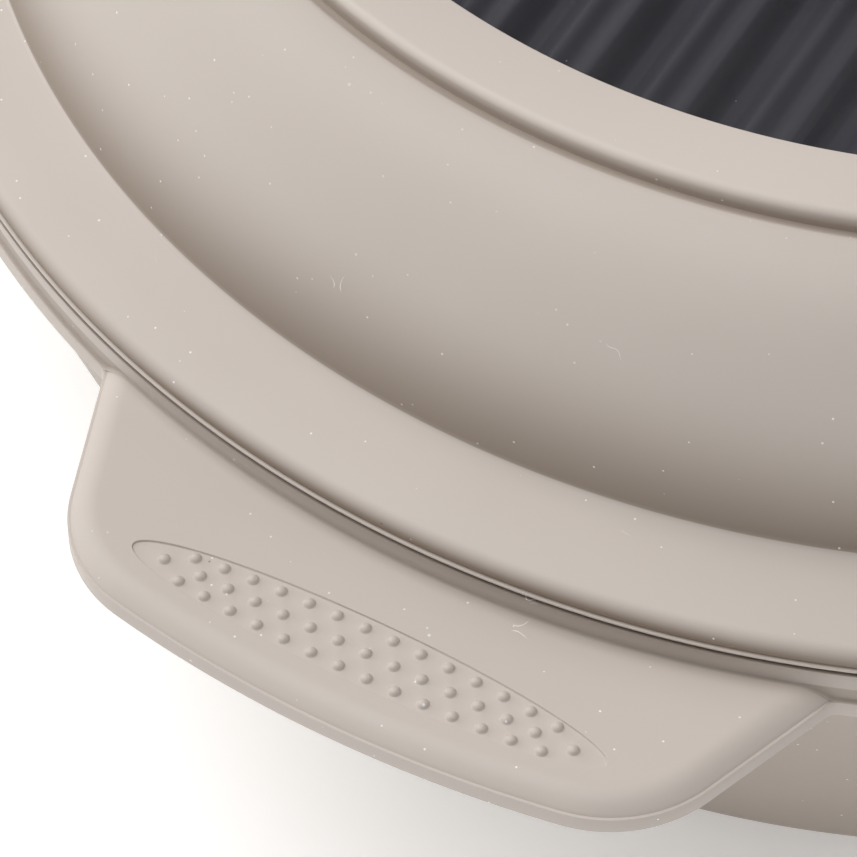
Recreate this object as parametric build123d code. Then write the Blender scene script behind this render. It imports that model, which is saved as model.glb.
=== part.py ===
from build123d import *
import os
from math import atan2, cos, pi, sin, sqrt

# Round hooded cat litter box, in millimetres.
# The origin is the centre of the base on the floor. +Z is up and the cat walks in from -Y.

# --- Litter tray --------------------------------------------------------------------------
FOOT_H = 2.0                  # how far the rubber feet lift the tray off the floor
TRAY_BASE_R = 196.0           # where the tapered wall would meet the flat base
TRAY_TOP_R = 225.5            # outside of the wall just under the rim
TRAY_CORNER_R = 14.0          # rounding between the wall and the base
TRAY_WALL = 3.0
RIM_R = 227.3                 # outside of the rim's skirt, flush with the hood's lower edge
RIM_WALL_R = 226.4            # upright rim wall that the hood stands on
TAB_TOP_Z = 98.0              # flat top of the two handle tabs
LEDGE_Z = TAB_TOP_Z - 3.0     # parting-line ledge round the rim and the tabs
SKIRT_Z = TAB_TOP_Z - 7.0     # lower edge of the skirt
RIM_TOP_Z = TAB_TOP_Z + 5.7   # top of the upright rim wall
LEDGE_W = 0.6
FLANGE_T = 2.6                # thickness of the hollow tabs
RIM_BACKING = 4.0             # solid width left behind the rim where the hollow tab meets it

TAB_R = 264.1                 # the tab's outer edge is an arc about the box's centre
TAB_ROOT_X = 79.3             # half width where the tab leaves the rim
TAB_ROOT_Y = -213.4
TAB_TAPER = 20.0              # degrees each side leans inward
TAB_OVERLAP = 30.0            # how far the tab's plan runs on inside the rim
TAB_REACH = 75.0              # and beyond its outer arc, before it is cut back
TAB_CORNER_R = 28.0
TAB_EDGE_R = 6.5              # soft rounding of the tab's upper edge

PAD_R = 247.9                 # centre of the grip pad, measured from the box's centre
PAD_LENGTH = 102.0
PAD_WIDTH = 14.8
PAD_DEPTH = 0.4
DOT_R = 1.2
DOT_H = 0.85
DOT_PITCH = 6.0
DOT_ROW_Y = 4.95              # distance of the outer dot rows from the middle one
DOT_FAN_X = 50.0              # the outer rows follow an oval with this half length
DOT_END_X = 44.0              # the lone dot at each end of the pad

FOOT_R = 11.0
FOOT_CIRCLE_R = 160.0

# --- Hood base: the collar that stands on the tray ----------------------------------------
HOOD_EDGE_Z = TAB_TOP_Z + 6.7
BAND_R = 206.5                # where the sloping band meets the collar's wall
BAND_Z = TAB_TOP_Z + 16.0
BAND_EDGE_R = 8.0             # rounding of the band's outer edge
COLLAR_TOP_Z = TAB_TOP_Z + 67.2
COLLAR_T = 3.0
RING_OUT_R = 172.9
RING_IN_R = 158.1
RING_TOP_Z = TAB_TOP_Z + 70.6
RING_SHOULDER_R = 1.6
BAND_DROP = 3.6               # how far the band's rounded edge falls below a straight cone
LIP_UNDERCUT = 1.0            # how far the hollow inside drops below the hood's lower edge
LOCATING_R = 219.0            # skirt inside the tray's rim that centres the collar
LOCATING_T = 3.0
LOCATING_DEPTH = 10.0         # how far that skirt reaches down into the tray
RIM_SEAT_GAP = 0.4            # radial play between the collar's foot and the rim
RIM_SEAT_H = 3.0              # height of the foot that stands on the rim

ARCH_Y = -60.0                # front edge of the dome: the open porch lies before it
SILL_BACK_Y = -38.0           # the cross sill runs from the porch to the litter opening
DECK_Z = 149.0                # underside of the porch deck that carries the mat
DECK_T = 3.0
SILL_T = 3.0                  # the sill is a hollow beam with walls this thick
SILL_GAP = 0.2                # between the sill's raised part and the ring
SILL_FRONT_Y = ARCH_Y - 0.5

# --- Entry mat -----------------------------------------------------------------------------
MAT_GAP = 0.8
MAT_LAY_GAP = 0.3             # between the mat's underside and the deck
MAT_R = RING_IN_R - MAT_GAP
MAT_BACK_Y = SILL_FRONT_Y - MAT_GAP
MAT_BOTTOM_Z = DECK_Z + DECK_T + MAT_LAY_GAP
MAT_VALLEY_Z = 157.0
MAT_CREST_Z = RING_TOP_Z - 4.0
RIB_PITCH = 20.2
RIB_W = 13.6                  # a pair of soft crests, with a shallow groove between them
RIB_FOOT_W = 16.6
RIB_GROOVE = 2.4
RIBS_PER_SIDE = 7             # either side of the rib on the centre line

# --- Dome ----------------------------------------------------------------------------------
DOME_R = 168.0
DOME_H = 222.0
DOME_CROWN_R = 142.0          # radius of the crown, the flank's radius follows from it
DOME_T = 3.0
SEAT_GAP = 0.4                # running gap between the dome and the ring it closes on
DOME_Z = RING_TOP_Z + SEAT_GAP
APEX_Z = DOME_Z + DOME_H
VENT_R = 52.0                 # round hole for the filter in the crown
VENT_TILT = 21.0              # degrees the vent leans back from the top of the crown

PANEL_Y = ARCH_Y + 8.0        # front face of the door panel, set back inside the arch
PANEL_T = 3.0
ENTRY_W = 184.0
ENTRY_BOTTOM_Z = RING_TOP_Z + 17.4
ENTRY_TOP_Z = 344.0
ENTRY_TOP_R = 75.0
ENTRY_FOOT_R = 22.0
TRIM_W = 6.0
TRIM_T = 2.4
TRIM_FIT = 0.4                # the frame's inner edge stands back from the entrance by this
SCREW_R = 3.2
SCREW_HEAD_T = 1.5
SCREW_PLACES = ((126.0, 190.0), (112.0, 280.0))   # X and Z of the two on the right side

# --- Swing flap ----------------------------------------------------------------------------
FLAP_GAP = 2.5
FLAP_T = 3.0
FLAP_AXIS_Y = PANEL_Y + PANEL_T + 2.5
FLAP_AXIS_Z = ENTRY_TOP_Z - 10.0
FLAP_NECK_X = 42.0            # the flap narrows to this at its rod, to clear the arch as it swings
FLAP_SHOULDER_Z = FLAP_AXIS_Z - 12.5
FLAP_NOTCH_R = 5.0
FLAP_ROD_R = 2.0
FLAP_BARREL_R = 4.5
FLAP_BARREL_X = 41.0
FLAP_BAR_X = 39.0             # half width of the plate that carries the flap
FLAP_BAR_T = 1.6
FLAP_BAR_Z = (FLAP_AXIS_Z - 16.0, FLAP_AXIS_Z + 3.0)
ROD_CLEARANCE = 0.08
FLAP_LUG_X = 62.5
FLAP_LUG_T = 6.0
FLAP_LUG_R = 5.0
MAGNET_X = 12.0               # half length of the flap's magnet and of its keeper on the sill
MAGNET_H = 6.0
FLAP_MAGNET_T = 2.5
FLAP_MAGNET_RISE = 1.5        # above the flap's lower edge
KEEPER_T = 4.0
KEEPER_Z = (ENTRY_BOTTOM_Z - 9.0, ENTRY_BOTTOM_Z - 2.0)

# --- Lock slider ---------------------------------------------------------------------------
LOCK_W = 40.0
LOCK_H = 13.0
LOCK_T = 3.0
LOCK_GAP = 0.3                # between the slider and the panel, and the slider and its rails
LOCK_Z = RING_TOP_Z + 1.6
LOCK_Y = (PANEL_Y - LOCK_GAP - LOCK_T, PANEL_Y - LOCK_GAP)
LOCK_GRIP_X = 9.0
LOCK_GRIP_T = 3.0
LOCK_GRIP_Z = (LOCK_Z + 3.0, LOCK_Z + 7.0)
RAIL_W = 3.0
RAIL_LIP = 2.0                # how far a rail's lip reaches over the slider
RAIL_LIP_T = 1.6
RAIL_SIDE_GAP = 0.4
RAIL_Z = (LOCK_Z, ENTRY_BOTTOM_Z - 1.5)

# --- Dome hinge ----------------------------------------------------------------------------
HINGE_Y = 184.0
HINGE_Z = DOME_Z + 7.0
HINGE_EYE_R = 7.0
HINGE_PIN_R = 3.0
HINGE_PIN_X = 60.0            # middle of each of the two hinges
COLLAR_LUG_T = 8.0
DOME_LUG_T = 14.0
DOME_LUG_ROOT = 14.0          # how far a dome lug starts inside the dome's foot
LUG_GAP = 0.4

# --- Side clips ----------------------------------------------------------------------------
CLIP_AXIS_R = 232.0
CLIP_AXIS_Z = TAB_TOP_Z + 12.5
CLIP_PIN_R = 2.0
CLIP_EYE_R = 4.5
CLIP_HALF_W = 22.6
CLIP_EAR_T = 5.0
CLIP_EAR_ROOT_R = 216.0
CLIP_PLATE_X = 229.2
CLIP_PLATE_T = 3.0
CLIP_HOOK_R = 225.9
CLIP_HOOK_GAP = 0.5           # below the tray's skirt
CLIP_HOOK_T = 3.4
CLIP_LIP_T = 3.0              # finger lip below the hook
CLIP_LIP_REACH = 5.0
CLIP_BORE = (-50.0, 50.0)

# --- Filter --------------------------------------------------------------------------------
# The vent is drawn upright on a sphere of the crown's radius, then leant back about its centre.
CROWN_Z = APEX_Z - DOME_CROWN_R
VENT_Z = CROWN_Z + sqrt(DOME_CROWN_R ** 2 - VENT_R ** 2)
LEAN = Pos(0, 0, CROWN_Z) * Rot(-VENT_TILT, 0, 0) * Pos(0, 0, -CROWN_Z)
BASKET_R = 49.0
BASKET_T = 2.0
BASKET_DEPTH = 22.0
BASKET_TOP_Z = VENT_Z - 3.2
BASKET_FIT = 0.2              # between the basket's flange and the vent's edge
BASKET_BAR_W = 3.0
BASKET_BAR_PITCH = 14.0
FILTER_R = 46.5
FILTER_T = 14.0
COVER_T = 2.6
COVER_FIT = 0.5               # gap round the cover
COVER_RIM_T = 2.5
COVER_RIM_H = 2.6
COVER_SLOT_W = 5.0
COVER_SLOT_PITCH = 10.0
COVER_SLOT_REACH = 41.0
COVER_SPINE_W = 4.0           # the rib that crosses the slots
COVER_AXIS_Y = 58.0
COVER_PIN_R = 1.5
COVER_EYE_R = 3.2
COVER_AXIS_Z = CROWN_Z + sqrt(DOME_CROWN_R ** 2 - COVER_AXIS_Y ** 2) + COVER_EYE_R + 0.5
COVER_ARM_X = 10.0            # half width of the cover's hinge arm
COVER_ARM_T = 1.2             # arm below the axis
COVER_ARM_CLEARANCE = 0.4     # between the arm and the dome it passes over
COVER_LUG_X = (10.4, 15.4)
COVER_TAB_X = 14.0            # finger tab at the front of the cover
COVER_TAB_Y = (-VENT_R - 5.0, -VENT_R + 3.0)
COVER_TAB_Z = (VENT_Z + 1.0, VENT_Z + 3.4)

FAR = 400.0                   # larger than any part, for cutting blocks


def box(x, y, z):
    """A block from three (low, high) pairs."""
    size = [high - low for low, high in (x, y, z)]
    middle = [(high + low) / 2 for low, high in (x, y, z)]
    return Pos(*middle) * Box(*size)


def tube_x(x, y, z, r):
    """A round bar along X from x[0] to x[1]."""
    bar = Cylinder(r, x[1] - x[0], rotation=(0, 90, 0))
    return Pos((x[0] + x[1]) / 2, y, z) * bar


def tube_y(x, y, z, r):
    """A round bar along Y from y[0] to y[1]."""
    bar = Cylinder(r, y[1] - y[0], rotation=(90, 0, 0))
    return Pos(x, (y[0] + y[1]) / 2, z) * bar


def tube_z(r, z, x=0.0, y=0.0):
    """A round bar along Z from z[0] to z[1]."""
    return Pos(x, y, (z[0] + z[1]) / 2) * Cylinder(r, z[1] - z[0])


def washer_z(r_in, r_out, z):
    """A ring about the Z axis."""
    return tube_z(r_out, z) - tube_z(r_in, z)


def turned(*edges):
    """Revolves a closed outline, drawn as (radius, height) edges, about the Z axis."""
    face = Plane.XZ * make_face(Curve() + list(edges))
    return revolve(face, Axis.Z)


def mirrored_x(part):
    return mirror(part, Plane.YZ)


def one(shape):
    """The single solid of a finished piece."""
    solids = shape.solids()
    return solids[0] if len(solids) == 1 else shape


# --- Tray ----------------------------------------------------------------------------------

def tray_bowl(inset, bottom, top):
    """The tapered bowl as a full solid, made smaller by inset and cut off at top."""
    rise = SKIRT_Z - FOOT_H
    taper = atan2(TRAY_TOP_R - TRAY_BASE_R, rise)
    base_r = TRAY_BASE_R - inset / cos(taper) + (bottom - FOOT_H) * (TRAY_TOP_R - TRAY_BASE_R) / rise
    top_r = base_r + (top - bottom) * (TRAY_TOP_R - TRAY_BASE_R) / rise
    corner_r = TRAY_CORNER_R - inset
    setback = corner_r * (1 - sin(taper)) / cos(taper)
    start = (base_r - setback, bottom)
    end = (base_r + setback * sin(taper), bottom + setback * cos(taper))
    middle_angle = -(pi / 2 + taper) / 2
    centre = (start[0], bottom + corner_r)
    middle = (centre[0] + corner_r * cos(middle_angle), centre[1] + corner_r * sin(middle_angle))
    return turned(
        Line((0, bottom), start),
        ThreePointArc(start, middle, end),
        Line(end, (top_r, top)),
        Line((top_r, top), (0, top)),
        Line((0, top), (0, bottom)),
    )


def tab_outline(grow):
    """Plan of the front handle tab, larger by grow all round, with its root inside the rim."""
    lean = TAB_TAPER * pi / 180
    root_x = TAB_ROOT_X + grow / cos(lean)
    inner_x = root_x + TAB_OVERLAP * sin(lean) / cos(lean)
    outer_x = root_x - TAB_REACH * sin(lean) / cos(lean)
    corners = [
        (-inner_x, TAB_ROOT_Y + TAB_OVERLAP), (inner_x, TAB_ROOT_Y + TAB_OVERLAP),
        (outer_x, TAB_ROOT_Y - TAB_REACH), (-outer_x, TAB_ROOT_Y - TAB_REACH),
    ]
    wedge = make_face(Polyline(*corners, close=True)) & Circle(TAB_R + grow)
    outer = wedge.vertices().sort_by(Axis.Y)[:2]
    return fillet(outer, TAB_CORNER_R + grow)


def grip_dots():
    """Centres of the raised dots of one pad, relative to the pad's middle."""
    centres = [(side * DOT_END_X, 0.0) for side in (-1, 1)]
    for i in range(-6, 7):
        centres.append((i * DOT_PITCH, 0.0))
    for i in range(-7, 7):
        x = (i + 0.5) * DOT_PITCH
        y = DOT_ROW_Y * sqrt(1 - (x / DOT_FAN_X) ** 2)
        centres += [(x, y), (x, -y)]
    return centres


def handle_tab():
    """The front tab: a soft-edged hollow flange with a sunk oval pad of raised dots."""
    drop = TAB_TOP_Z - LEDGE_Z
    ledge_step = TAB_EDGE_R - sqrt(TAB_EDGE_R ** 2 - (TAB_EDGE_R - drop) ** 2)
    low = TAB_TOP_Z - 2 * TAB_EDGE_R
    block = extrude(Pos(0, 0, low) * tab_outline(ledge_step - LEDGE_W), 2 * TAB_EDGE_R)
    rounded = [e for e in block.edges().group_by(Axis.Z)[-1] if e.center().Y < TAB_ROOT_Y + TAB_OVERLAP / 3]
    block = fillet(rounded, TAB_EDGE_R)
    top = block & box((-FAR, FAR), (-FAR, 0), (LEDGE_Z, FAR))
    skirt = extrude(Pos(0, 0, SKIRT_Z) * tab_outline(0), LEDGE_Z - SKIRT_Z)
    under = SKIRT_Z - 1
    hollow = extrude(Pos(0, 0, under) * tab_outline(-FLANGE_T), TAB_TOP_Z - FLANGE_T - under)
    hollow -= tube_z(RIM_R - RIM_BACKING, (0, FAR))
    pad_place = Pos(0, -PAD_R, TAB_TOP_Z - PAD_DEPTH)
    pad = extrude(pad_place * Ellipse(PAD_LENGTH / 2, PAD_WIDTH / 2), 2 * PAD_DEPTH)
    ball_r = (DOT_R ** 2 + DOT_H ** 2) / (2 * DOT_H)
    dots = Part() + [
        pad_place * Pos(x, y, DOT_H - ball_r) * Sphere(ball_r) for x, y in grip_dots()
    ]
    dots &= box((-FAR, FAR), (-FAR, 0), (TAB_TOP_Z - 2 * PAD_DEPTH, FAR))
    return (top + skirt) - hollow - pad + dots


def tray():
    body = tray_bowl(0, FOOT_H, SKIRT_Z + 0.5)
    body += tube_z(RIM_R, (SKIRT_Z, LEDGE_Z))
    body += tube_z(RIM_WALL_R, (LEDGE_Z, RIM_TOP_Z))
    tab = handle_tab()
    body += tab
    body += mirror(tab, Plane.XZ)
    inside = tray_bowl(TRAY_WALL, FOOT_H + TRAY_WALL, RIM_TOP_Z + 1)
    return body - inside


def tray_foot(angle):
    x = FOOT_CIRCLE_R * cos(angle * pi / 180)
    y = FOOT_CIRCLE_R * sin(angle * pi / 180)
    return tube_z(FOOT_R, (0, FOOT_H), x, y)


# --- Hood base -----------------------------------------------------------------------------

def collar_outside(inset):
    """The collar as a full solid: sloping band with a rounded edge, then a domed wall."""
    edge_r = RIM_R - inset
    slope = atan2(BAND_Z - HOOD_EDGE_Z - BAND_DROP, RIM_R - BAND_R)
    shoulder_r = BAND_EDGE_R - inset
    centre = (edge_r - shoulder_r, BAND_Z - inset - (RIM_R - BAND_R - shoulder_r) * slope - shoulder_r)
    shoulder = (centre[0] + shoulder_r * sin(slope), centre[1] + shoulder_r * cos(slope))
    low_z = HOOD_EDGE_Z - LIP_UNDERCUT if inset else HOOD_EDGE_Z
    half_way = (pi / 2 - slope) / 2
    bulge = (centre[0] + shoulder_r * cos(half_way), centre[1] + shoulder_r * sin(half_way))
    waist = (BAND_R - inset, BAND_Z - inset)
    crown = (RING_OUT_R, COLLAR_TOP_Z - inset)
    wide = BAND_R - inset - RING_OUT_R
    high = crown[1] - waist[1]
    return turned(
        Line((0, low_z), (edge_r, low_z)),
        Line((edge_r, low_z), (edge_r, centre[1])),
        ThreePointArc((edge_r, centre[1]), bulge, shoulder),
        Line(shoulder, waist),
        EllipticalCenterArc((RING_OUT_R, waist[1]), wide, high, start_angle=0, arc_size=90),
        Line(crown, (0, crown[1])),
        Line((0, crown[1]), (0, low_z)),
    )


def collar_hinge_lug(x):
    """One upright lug at the back, running down into the collar's wall."""
    eye = tube_x((x - COLLAR_LUG_T / 2, x + COLLAR_LUG_T / 2), HINGE_Y, HINGE_Z, HINGE_EYE_R)
    leg = box(
        (x - COLLAR_LUG_T / 2, x + COLLAR_LUG_T / 2),
        (HINGE_Y - HINGE_EYE_R, HINGE_Y + HINGE_EYE_R),
        (DECK_Z, HINGE_Z),
    )
    return eye + leg


def clip_ears():
    """Two ears on the right side of the band, either side of the clip."""
    ears = Part()
    low = CLIP_AXIS_Z - CLIP_EYE_R
    for side in (-1, 1):
        span = sorted((side * (CLIP_HALF_W + LUG_GAP), side * (CLIP_HALF_W + LUG_GAP + CLIP_EAR_T)))
        ears += tube_y(CLIP_AXIS_R, span, CLIP_AXIS_Z, CLIP_EYE_R)
        ears += box((CLIP_EAR_ROOT_R, CLIP_AXIS_R), span, (low, CLIP_AXIS_Z + CLIP_EYE_R))
    return ears - tube_z(CLIP_EAR_ROOT_R + 1, (0, low + 1))


def hood_collar():
    body = collar_outside(0) - collar_outside(COLLAR_T)
    locating_in_r = LOCATING_R - LOCATING_T
    body += washer_z(locating_in_r, RIM_WALL_R - RIM_SEAT_GAP, (RIM_TOP_Z, RIM_TOP_Z + RIM_SEAT_H))
    body += washer_z(locating_in_r, LOCATING_R, (RIM_TOP_Z - LOCATING_DEPTH, RIM_TOP_Z + 1))
    body -= tube_z(RING_IN_R, (0, FAR))
    body += washer_z(RING_IN_R, RING_IN_R + COLLAR_T, (DECK_Z, COLLAR_TOP_Z))
    deck = tube_z(RING_IN_R + COLLAR_T, (DECK_Z, DECK_Z + DECK_T))
    deck &= box((-FAR, FAR), (-FAR, SILL_BACK_Y), (0, FAR))
    sill = tube_z(RING_IN_R + COLLAR_T, (DECK_Z, COLLAR_TOP_Z))
    sill += tube_z(RING_IN_R - SILL_GAP, (DECK_Z, RING_TOP_Z))
    sill &= box((-FAR, FAR), (SILL_FRONT_Y, SILL_BACK_Y), (0, FAR))
    sill -= box((-FAR, FAR), (ARCH_Y + SILL_T, SILL_BACK_Y - SILL_T), (0, RING_TOP_Z - SILL_T))
    body += deck
    body += sill
    for side in (-1, 1):
        for step in (-1, 1):
            x = side * HINGE_PIN_X + step * (DOME_LUG_T / 2 + LUG_GAP + COLLAR_LUG_T / 2)
            body += collar_hinge_lug(x)
    ears = clip_ears()
    body += ears
    body += mirrored_x(ears)
    bores = tube_x((-FAR, FAR), HINGE_Y, HINGE_Z, HINGE_PIN_R)
    for side in (-1, 1):
        bores += tube_y(side * CLIP_AXIS_R, CLIP_BORE, CLIP_AXIS_Z, CLIP_PIN_R)
    return body - bores


def hood_ring():
    """The flat bezel round the opening, standing proud with a rounded outer shoulder."""
    r = RING_SHOULDER_R
    knee = r * (1 - 1 / sqrt(2))
    return turned(
        Line((RING_IN_R, COLLAR_TOP_Z), (RING_OUT_R, COLLAR_TOP_Z)),
        Line((RING_OUT_R, COLLAR_TOP_Z), (RING_OUT_R, RING_TOP_Z - r)),
        ThreePointArc(
            (RING_OUT_R, RING_TOP_Z - r),
            (RING_OUT_R - knee, RING_TOP_Z - knee),
            (RING_OUT_R - r, RING_TOP_Z),
        ),
        Line((RING_OUT_R - r, RING_TOP_Z), (RING_IN_R, RING_TOP_Z)),
        Line((RING_IN_R, RING_TOP_Z), (RING_IN_R, COLLAR_TOP_Z)),
    )


# --- Entry mat -----------------------------------------------------------------------------

def mat_rib(x):
    """One rib along Y: two soft crests side by side on a wider foot."""
    z = MAT_CREST_Z
    crest = RIB_W / 4
    foot = MAT_VALLEY_Z - 1.0
    side = z - RIB_GROOVE
    outline = Curve() + [
        Line((x - RIB_FOOT_W / 2, foot), (x + RIB_FOOT_W / 2, foot)),
        Line((x + RIB_FOOT_W / 2, foot), (x + RIB_W / 2, side)),
        ThreePointArc((x + RIB_W / 2, side), (x + crest, z), (x, side)),
        ThreePointArc((x, side), (x - crest, z), (x - RIB_W / 2, side)),
        Line((x - RIB_W / 2, side), (x - RIB_FOOT_W / 2, foot)),
    ]
    return extrude(Plane.XZ * make_face(outline), FAR, both=True)


def entry_mat():
    plan = tube_z(MAT_R, (MAT_BOTTOM_Z, FAR)) & box((-FAR, FAR), (-FAR, MAT_BACK_Y), (0, FAR))
    slab = plan & box((-FAR, FAR), (-FAR, FAR), (0, MAT_VALLEY_Z))
    ribs = Part() + [mat_rib(i * RIB_PITCH) for i in range(-RIBS_PER_SIDE, RIBS_PER_SIDE + 1)]
    return slab + (ribs & plan)


# --- Dome ----------------------------------------------------------------------------------

def dome_body(inset):
    """The dome as a full solid: a wide flank arc that runs smoothly into the crown's arc."""
    rise = DOME_H - DOME_CROWN_R
    flank_r = (DOME_R ** 2 + rise ** 2 - DOME_CROWN_R ** 2) / (2 * (DOME_R - DOME_CROWN_R))
    flank_centre = (DOME_R - flank_r, DOME_Z)
    crown_centre = (0, CROWN_Z)
    join = atan2(crown_centre[1] - flank_centre[1], crown_centre[0] - flank_centre[0])

    def on_flank(angle):
        r = flank_r - inset
        return (flank_centre[0] + r * cos(angle), flank_centre[1] + r * sin(angle))

    def on_crown(angle):
        r = DOME_CROWN_R - inset
        return (crown_centre[0] + r * cos(angle), crown_centre[1] + r * sin(angle))

    top = (0, APEX_Z - inset)
    return turned(
        Line((0, DOME_Z), on_flank(0)),
        ThreePointArc(on_flank(0), on_flank(join / 2), on_flank(join)),
        ThreePointArc(on_flank(join), on_crown((join + pi / 2) / 2), top),
        Line(top, (0, DOME_Z)),
    )


def dome_hinge_lug(x):
    """A lug on the back of the dome that reaches out to the hinge axis."""
    span = (x - DOME_LUG_T / 2, x + DOME_LUG_T / 2)
    eye = tube_x(span, HINGE_Y, HINGE_Z, HINGE_EYE_R)
    arm = box(span, (DOME_R - DOME_LUG_ROOT, HINGE_Y), (DOME_Z, HINGE_Z + HINGE_EYE_R))
    return eye + arm - dome_body(DOME_T / 2)


def dome_shell():
    shell = dome_body(0)
    for side in (-1, 1):
        shell += dome_hinge_lug(side * HINGE_PIN_X)
    shell -= dome_body(DOME_T)
    shell &= box((-FAR, FAR), (ARCH_Y, FAR), (0, 2 * FAR))
    shell -= LEAN * tube_z(VENT_R, (CROWN_Z + DOME_CROWN_R / 2, FAR + APEX_Z))
    bores = tube_x((-FAR, FAR), HINGE_Y, HINGE_Z, HINGE_PIN_R + ROD_CLEARANCE)
    return shell - bores


def entry_outline(grow):
    """The entrance's outline in the X-Z plane: small rounded feet and a broad round top."""
    half = ENTRY_W / 2 + grow
    low = ENTRY_BOTTOM_Z - grow
    high = ENTRY_TOP_Z + grow
    outline = Pos(0, (low + high) / 2) * Rectangle(2 * half, high - low)
    corners = outline.vertices().group_by(Axis.Y)
    outline = fillet(corners[-1], ENTRY_TOP_R + grow)
    feet = outline.vertices().group_by(Axis.Y)[0]
    return fillet(feet, ENTRY_FOOT_R + grow)


def entry_block(grow, y):
    """The entrance's outline as a block between two Y values."""
    face = Pos(0, y[1], 0) * (Plane.XZ * entry_outline(grow))
    return extrude(face, y[1] - y[0])


def flap_lug(x):
    """A lug on the inner face of the door panel that holds one end of the flap's rod."""
    span = (x - FLAP_LUG_T / 2, x + FLAP_LUG_T / 2)
    eye = tube_x(span, FLAP_AXIS_Y, FLAP_AXIS_Z, FLAP_LUG_R)
    back = PANEL_Y + PANEL_T
    root = box(span, (back - 1, FLAP_AXIS_Y), (FLAP_AXIS_Z - FLAP_LUG_R, FLAP_AXIS_Z + FLAP_LUG_R))
    return (eye & box(span, (back - 1, 0), (0, FAR))) + root


def lock_rails():
    """Two rails on the sill that the flap's lock slides between."""
    rails = Part()
    lip_y = LOCK_Y[0] - LOCK_GAP
    front = lip_y - RAIL_LIP_T
    for side in (-1, 1):
        inner = side * (LOCK_W / 2 + RAIL_SIDE_GAP)
        outer = inner + side * RAIL_W
        lip = inner - side * RAIL_LIP
        rails += box(sorted((inner, outer)), (front, PANEL_Y + 0.5), RAIL_Z)
        rails += box(sorted((lip, outer)), (front, lip_y), RAIL_Z)
    return rails


def door_panel():
    slab = dome_body(DOME_T) & box((-FAR, FAR), (PANEL_Y, PANEL_Y + PANEL_T), (0, 2 * FAR))
    slab -= entry_block(0, (PANEL_Y - 5, PANEL_Y + PANEL_T + 5))
    slab += lock_rails()
    for side in (-1, 1):
        slab += flap_lug(side * FLAP_LUG_X)
    return slab - tube_x((-FAR, FAR), FLAP_AXIS_Y, FLAP_AXIS_Z, FLAP_ROD_R + ROD_CLEARANCE)


def door_trim():
    """A raised frame on the panel round the entrance, open at the foot for the lock."""
    y = (PANEL_Y - TRIM_T, PANEL_Y)
    frame = entry_block(TRIM_W, y) - entry_block(TRIM_FIT, (y[0] - 5, y[1] + 5))
    return frame - box((-FAR, FAR), (-FAR, 0), (0, ENTRY_BOTTOM_Z + ENTRY_FOOT_R))


def door_screws():
    """Heads of the four screws that hold the panel in the dome."""
    screws = Part()
    for x, z in SCREW_PLACES:
        for side in (-1, 1):
            screws += tube_y(side * x, (PANEL_Y - SCREW_HEAD_T, PANEL_Y), z, SCREW_R)
    return screws


def sill_magnet():
    back = PANEL_Y + PANEL_T
    return box((-MAGNET_X, MAGNET_X), (back, back + KEEPER_T), KEEPER_Z)


# --- Flap ----------------------------------------------------------------------------------

def flap_barrel():
    return tube_x((-FLAP_BARREL_X, FLAP_BARREL_X), FLAP_AXIS_Y, FLAP_AXIS_Z, FLAP_BARREL_R)


def flap_panel():
    """The swing flap: the entrance's outline, stepped in at both ends of its rod."""
    outline = entry_outline(-FLAP_GAP)
    notch = 2 * (ENTRY_W / 2 - FLAP_NECK_X)
    for side in (-1, 1):
        middle = (side * (FLAP_NECK_X + notch / 2), FLAP_SHOULDER_Z + notch / 2)
        outline -= Pos(*middle) * RectangleRounded(notch, notch, FLAP_NOTCH_R)
    face = Pos(0, PANEL_Y + FLAP_T, 0) * (Plane.XZ * outline)
    return extrude(face, FLAP_T) - flap_barrel()


def flap_top_bar():
    """The bar along the flap's head that grips its rod."""
    front = PANEL_Y + FLAP_T
    plate = box((-FLAP_BAR_X, FLAP_BAR_X), (front, front + FLAP_BAR_T), FLAP_BAR_Z)
    bore = tube_x((-FAR, FAR), FLAP_AXIS_Y, FLAP_AXIS_Z, FLAP_ROD_R)
    return flap_barrel() + plate - bore


def flap_rod():
    end = FLAP_LUG_X + FLAP_LUG_T / 2
    return tube_x((-end, end), FLAP_AXIS_Y, FLAP_AXIS_Z, FLAP_ROD_R)


def flap_magnet():
    low = ENTRY_BOTTOM_Z + FLAP_GAP + FLAP_MAGNET_RISE
    back = PANEL_Y + FLAP_T
    return box((-MAGNET_X, MAGNET_X), (back, back + FLAP_MAGNET_T), (low, low + MAGNET_H))


def flap_lock():
    """The slider that is pushed up in front of the flap to keep it shut."""
    plate = box((-LOCK_W / 2, LOCK_W / 2), LOCK_Y, (LOCK_Z, LOCK_Z + LOCK_H))
    grip = box((-LOCK_GRIP_X, LOCK_GRIP_X), (LOCK_Y[0] - LOCK_GRIP_T, LOCK_Y[0]), LOCK_GRIP_Z)
    return plate + grip


# --- Side clips and pins -------------------------------------------------------------------

def side_clip():
    """The right clip: it hangs on its pin and hooks under the tray's rim."""
    y = (-CLIP_HALF_W, CLIP_HALF_W)
    hook_top = SKIRT_Z - CLIP_HOOK_GAP
    hook_low = hook_top - CLIP_HOOK_T
    outer = CLIP_PLATE_X + CLIP_PLATE_T
    barrel = tube_y(CLIP_AXIS_R, y, CLIP_AXIS_Z, CLIP_EYE_R)
    plate = box((CLIP_PLATE_X, outer), y, (hook_low, CLIP_AXIS_Z))
    hook = box((CLIP_HOOK_R, outer), y, (hook_low, hook_top))
    lip = box((CLIP_PLATE_X, outer + CLIP_LIP_REACH), y, (hook_low - CLIP_LIP_T, hook_low))
    clip = barrel + plate + hook + lip
    return clip - tube_y(CLIP_AXIS_R, CLIP_BORE, CLIP_AXIS_Z, CLIP_PIN_R + ROD_CLEARANCE)


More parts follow.
